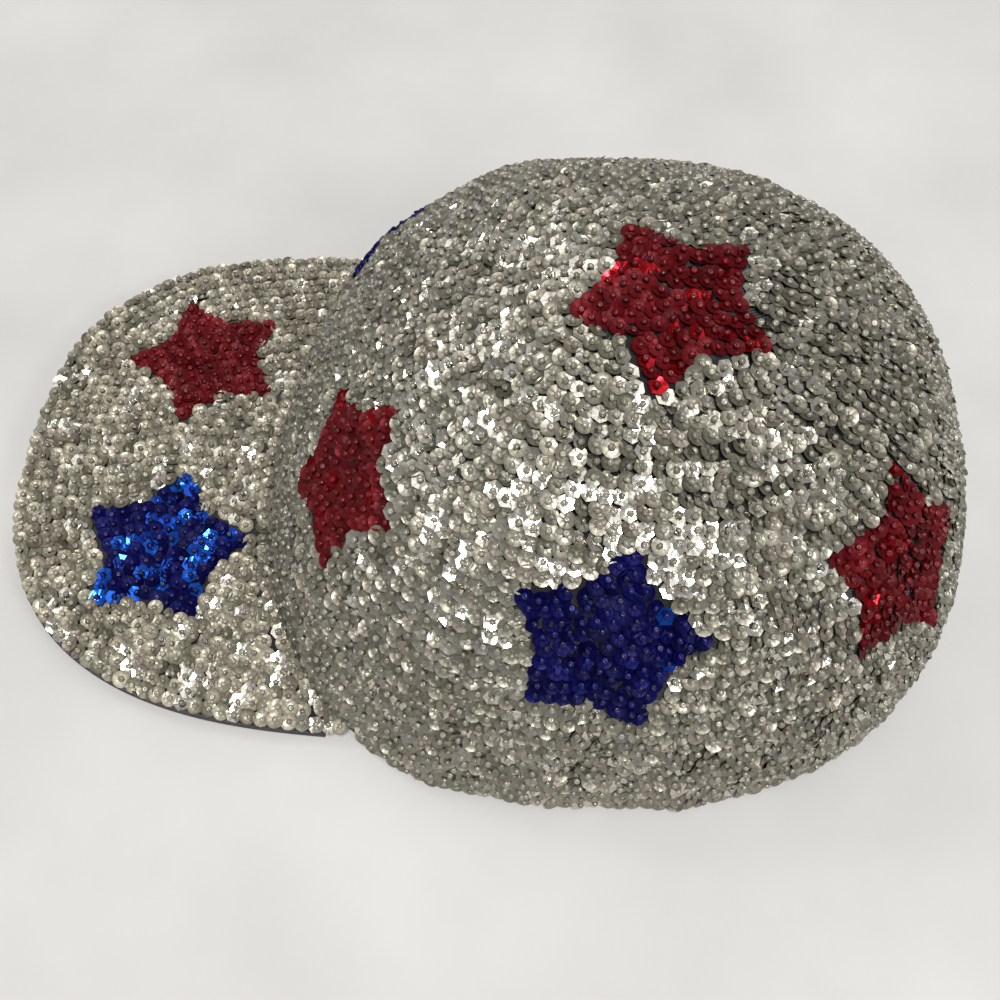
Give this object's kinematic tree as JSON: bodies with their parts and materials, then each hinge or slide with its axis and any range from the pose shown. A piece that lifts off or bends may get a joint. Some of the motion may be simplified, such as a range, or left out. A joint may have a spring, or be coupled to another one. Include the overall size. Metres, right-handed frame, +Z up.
{
  "type": "baseball cap",
  "caption": "Baseball cap with a rounded panelled crown and a short curved bill, covered all over in beaded silver sequins with red and blue sequin stars",
  "frame": {"origin": "middle of the cap's footprint, on the surface it rests on", "axes": "-Y towards the tip of the bill, +X the wearer's left, +Z up through the top of the crown"},
  "size_m": [0.1818, 0.2524, 0.0952],
  "materials": {
    "crown_cloth": "black woven cotton, matte",
    "bill_cloth": "black woven cotton, matte",
    "silver_sequins": "overlapping silver cup sequins, each held by a clear silver-lined seed bead, glittering",
    "red_sequins": "overlapping dark red cup sequins with red seed beads, glittering",
    "blue_sequins": "overlapping royal blue cup sequins with blue seed beads, glittering",
    "buckram": "stiff open black buckram",
    "seam_tape": "black woven tape",
    "sweatband_cloth": "black twill, stitched",
    "elastic": "ribbed black elastic",
    "bill_board": "grey flexible board"
  },
  "bodies": {
    "root": {"crown_panel_front_left": "crown_cloth", "crown_panel_left": "crown_cloth", "crown_panel_back_left": "crown_cloth", "crown_panel_back_right": "crown_cloth", "crown_panel_right": "crown_cloth", "crown_panel_front_right": "crown_cloth", "silver_cover_front_left": "silver_sequins", "silver_cover_left": "silver_sequins", "silver_cover_back_left": "silver_sequins", "silver_cover_back_right": "silver_sequins", "silver_cover_right": "silver_sequins", "silver_cover_front_right": "silver_sequins", "star_red_front_left": "red_sequins", "star_blue_left": "blue_sequins", "star_red_back_left": "red_sequins", "star_blue_back_right": "blue_sequins", "star_red_right": "red_sequins", "star_blue_front_right": "blue_sequins", "star_red_top": "red_sequins", "seam_tape_front": "seam_tape", "seam_tape_front_left": "seam_tape", "seam_tape_back_left": "seam_tape", "seam_tape_back": "seam_tape", "seam_tape_back_right": "seam_tape", "seam_tape_front_right": "seam_tape", "front_stiffener": "buckram", "sweatband": "sweatband_cloth", "back_elastic": "elastic", "bill_top_cloth": "bill_cloth", "bill_board": "bill_board", "bill_under_cloth": "bill_cloth", "bill_edge_binding": "bill_cloth", "silver_cover_bill": "silver_sequins", "star_blue_bill": "blue_sequins", "star_red_bill": "red_sequins"}
  },
  "joints": []
}
